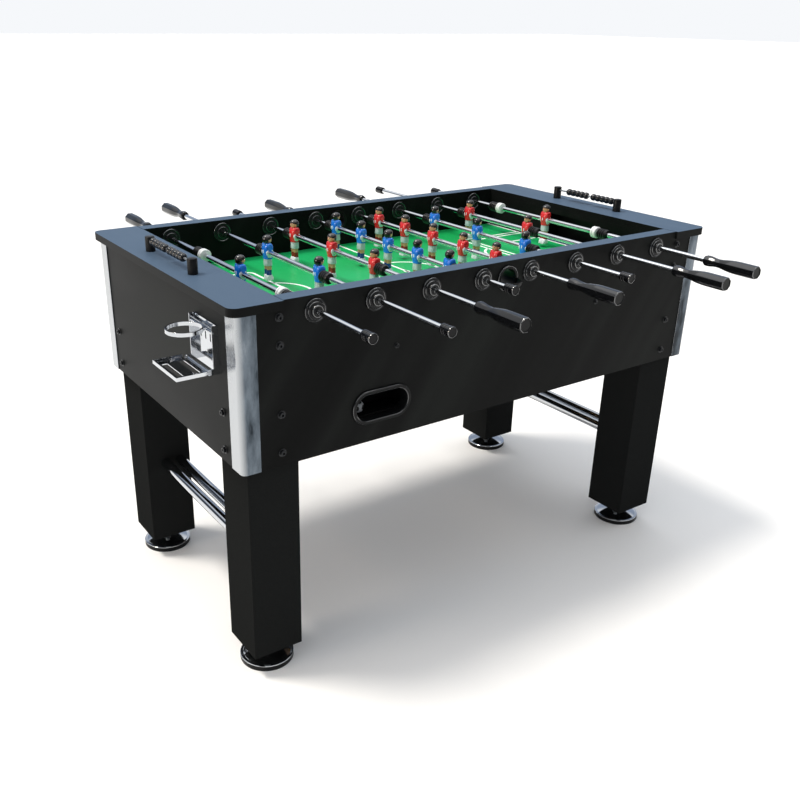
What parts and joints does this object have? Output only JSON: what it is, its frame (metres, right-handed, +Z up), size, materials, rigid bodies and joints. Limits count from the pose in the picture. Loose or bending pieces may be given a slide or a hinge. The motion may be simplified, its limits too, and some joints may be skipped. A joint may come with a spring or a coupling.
{
  "type": "foosball table",
  "caption": "Home foosball table with turning and sliding player rods, goal scorers, ball returns, levelling feet and a folding cup holder.",
  "frame": {"origin": "on the floor under the middle of the outline at rest, with the cup holder and the rods; the middle of the playfield is at x = 40 mm, y = -14.5 mm", "axes": "+X along the length, away from the end with the cup holder; +Y from the front player's side to the rear; +Z up"},
  "size_m": [1.46, 1.405, 0.9145],
  "materials": {
    "black_laminate": "satin",
    "green_field": "satin",
    "chrome": "polished",
    "rod_steel": "polished",
    "grip_black": "gloss",
    "black_plastic": "matte",
    "bead_black": "gloss",
    "black_screw": "satin",
    "player_blue": "gloss",
    "player_red": "gloss",
    "foot_black": "satin",
    "ball_grey": "matte"
  },
  "bodies": {
    "cabinet": {"side_panel_front": "black_laminate", "side_panel_rear": "black_laminate", "end_panels": "black_laminate", "goal_walls": "black_laminate", "top_decks": "black_laminate", "playfield": "green_field", "playfield_supports": "black_laminate", "legs": "black_laminate", "leg_brace_tubes": "chrome", "corner_trims": "chrome", "cabinet_bolts": "black_screw", "ball_entries": "black_plastic", "ball_return_trays": "black_plastic", "ball_chutes": "black_plastic", "rod_bushings": "black_plastic", "scorer_frames": "black_plastic", "cup_holder_plate": "chrome"},
    "rod_1_bearings": {"rod_1_bearings": "black_plastic"},
    "rod_1": {"rod_1_tube": "rod_steel", "rod_1_grip_set": "grip_black", "rod_1_players": "player_blue"},
    "rod_2_bearings": {"rod_2_bearings": "black_plastic"},
    "rod_2": {"rod_2_tube": "rod_steel", "rod_2_grip_set": "grip_black", "rod_2_players": "player_blue"},
    "rod_3_bearings": {"rod_3_bearings": "black_plastic"},
    "rod_3": {"rod_3_tube": "rod_steel", "rod_3_grip_set": "grip_black", "rod_3_players": "player_red"},
    "rod_4_bearings": {"rod_4_bearings": "black_plastic"},
    "rod_4": {"rod_4_tube": "rod_steel", "rod_4_grip_set": "grip_black", "rod_4_players": "player_blue"},
    "rod_5_bearings": {"rod_5_bearings": "black_plastic"},
    "rod_5": {"rod_5_tube": "rod_steel", "rod_5_grip_set": "grip_black", "rod_5_players": "player_red"},
    "rod_6_bearings": {"rod_6_bearings": "black_plastic"},
    "rod_6": {"rod_6_tube": "rod_steel", "rod_6_grip_set": "grip_black", "rod_6_players": "player_blue"},
    "rod_7_bearings": {"rod_7_bearings": "black_plastic"},
    "rod_7": {"rod_7_tube": "rod_steel", "rod_7_grip_set": "grip_black", "rod_7_players": "player_red"},
    "rod_8_bearings": {"rod_8_bearings": "black_plastic"},
    "rod_8": {"rod_8_tube": "rod_steel", "rod_8_grip_set": "grip_black", "rod_8_players": "player_red"},
    "scorer_left_far_beads": {"scorer_left_far_beads": "bead_black"},
    "scorer_left_near_beads": {"scorer_left_near_beads": "bead_black"},
    "scorer_right_far_beads": {"scorer_right_far_beads": "bead_black"},
    "scorer_right_near_beads": {"scorer_right_near_beads": "bead_black"},
    "leveler_front_left": {"leveler_front_left": "foot_black"},
    "leveler_front_right": {"leveler_front_right": "foot_black"},
    "leveler_rear_left": {"leveler_rear_left": "foot_black"},
    "leveler_rear_right": {"leveler_rear_right": "foot_black"},
    "cup_holder_tray": {"cup_holder_tray": "chrome"},
    "cup_holder_ring": {"cup_holder_ring": "chrome"},
    "ball": {"ball": "ball_grey"}
  },
  "joints": [
    {"name": "rod_1_spin", "type": "hinge", "parent": "cabinet", "child": "rod_1_bearings", "pos_m": [-0.464, -0.0145, 0.848], "axis": [0, 1, 0], "continuous": true},
    {"name": "rod_1_slide", "type": "slide", "parent": "rod_1_bearings", "child": "rod_1", "axis": [0, 1, 0], "range_m": [-0.043, 0.153]},
    {"name": "rod_2_spin", "type": "hinge", "parent": "cabinet", "child": "rod_2_bearings", "pos_m": [-0.32, -0.0145, 0.848], "axis": [0, 1, 0], "continuous": true},
    {"name": "rod_2_slide", "type": "slide", "parent": "rod_2_bearings", "child": "rod_2", "axis": [0, 1, 0], "range_m": [-0.132, 0.2]},
    {"name": "rod_3_spin", "type": "hinge", "parent": "cabinet", "child": "rod_3_bearings", "pos_m": [-0.176, -0.0145, 0.848], "axis": [0, 1, 0], "continuous": true},
    {"name": "rod_3_slide", "type": "slide", "parent": "rod_3_bearings", "child": "rod_3", "axis": [0, 1, 0], "range_m": [-0.125, 0.081]},
    {"name": "rod_4_spin", "type": "hinge", "parent": "cabinet", "child": "rod_4_bearings", "pos_m": [-0.032, -0.0145, 0.848], "axis": [0, 1, 0], "continuous": true},
    {"name": "rod_4_slide", "type": "slide", "parent": "rod_4_bearings", "child": "rod_4", "axis": [0, 1, 0], "range_m": [-0.029, 0.057]},
    {"name": "rod_5_spin", "type": "hinge", "parent": "cabinet", "child": "rod_5_bearings", "pos_m": [0.112, -0.0145, 0.848], "axis": [0, 1, 0], "continuous": true},
    {"name": "rod_5_slide", "type": "slide", "parent": "rod_5_bearings", "child": "rod_5", "axis": [0, 1, 0], "range_m": [-0.032, 0.054]},
    {"name": "rod_6_spin", "type": "hinge", "parent": "cabinet", "child": "rod_6_bearings", "pos_m": [0.256, -0.0145, 0.848], "axis": [0, 1, 0], "continuous": true},
    {"name": "rod_6_slide", "type": "slide", "parent": "rod_6_bearings", "child": "rod_6", "axis": [0, 1, 0], "range_m": [-0.084, 0.122]},
    {"name": "rod_7_spin", "type": "hinge", "parent": "cabinet", "child": "rod_7_bearings", "pos_m": [0.4, -0.0145, 0.848], "axis": [0, 1, 0], "continuous": true},
    {"name": "rod_7_slide", "type": "slide", "parent": "rod_7_bearings", "child": "rod_7", "axis": [0, 1, 0], "range_m": [-0.229, 0.103]},
    {"name": "rod_8_spin", "type": "hinge", "parent": "cabinet", "child": "rod_8_bearings", "pos_m": [0.544, -0.0145, 0.848], "axis": [0, 1, 0], "continuous": true},
    {"name": "rod_8_slide", "type": "slide", "parent": "rod_8_bearings", "child": "rod_8", "axis": [0, 1, 0], "range_m": [-0.116, 0.08]},
    {"name": "scorer_left_far_slide", "type": "slide", "parent": "cabinet", "child": "scorer_left_far_beads", "axis": [0, -1, 0], "range_m": [-0.003, 0.006]},
    {"name": "scorer_left_near_slide", "type": "slide", "parent": "cabinet", "child": "scorer_left_near_beads", "axis": [0, -1, 0], "range_m": [-0.006, 0.029]},
    {"name": "scorer_right_far_slide", "type": "slide", "parent": "cabinet", "child": "scorer_right_far_beads", "axis": [0, 1, 0], "range_m": [-0.003, 0.006]},
    {"name": "scorer_right_near_slide", "type": "slide", "parent": "cabinet", "child": "scorer_right_near_beads", "axis": [0, 1, 0], "range_m": [-0.006, 0.029]},
    {"name": "leveler_front_left_screw", "type": "slide", "parent": "cabinet", "child": "leveler_front_left", "axis": [0, 0, -1], "range_m": [0, 0.015]},
    {"name": "leveler_front_right_screw", "type": "slide", "parent": "cabinet", "child": "leveler_front_right", "axis": [0, 0, -1], "range_m": [0, 0.015]},
    {"name": "leveler_rear_left_screw", "type": "slide", "parent": "cabinet", "child": "leveler_rear_left", "axis": [0, 0, -1], "range_m": [0, 0.015]},
    {"name": "leveler_rear_right_screw", "type": "slide", "parent": "cabinet", "child": "leveler_rear_right", "axis": [0, 0, -1], "range_m": [0, 0.015]},
    {"name": "cup_tray_hinge", "type": "hinge", "parent": "cabinet", "child": "cup_holder_tray", "pos_m": [-0.657, -0.2525, 0.728], "axis": [0, 1, 0], "range_deg": [0, 90]},
    {"name": "cup_ring_hinge", "type": "hinge", "parent": "cabinet", "child": "cup_holder_ring", "pos_m": [-0.644, -0.2525, 0.808], "axis": [0, 1, 0], "range_deg": [-90, 0]},
    {"name": "ball_roll", "type": "slide", "parent": "cabinet", "child": "ball", "axis": [1, 0, 0], "range_m": [-0.02, 0.095]}
  ]
}
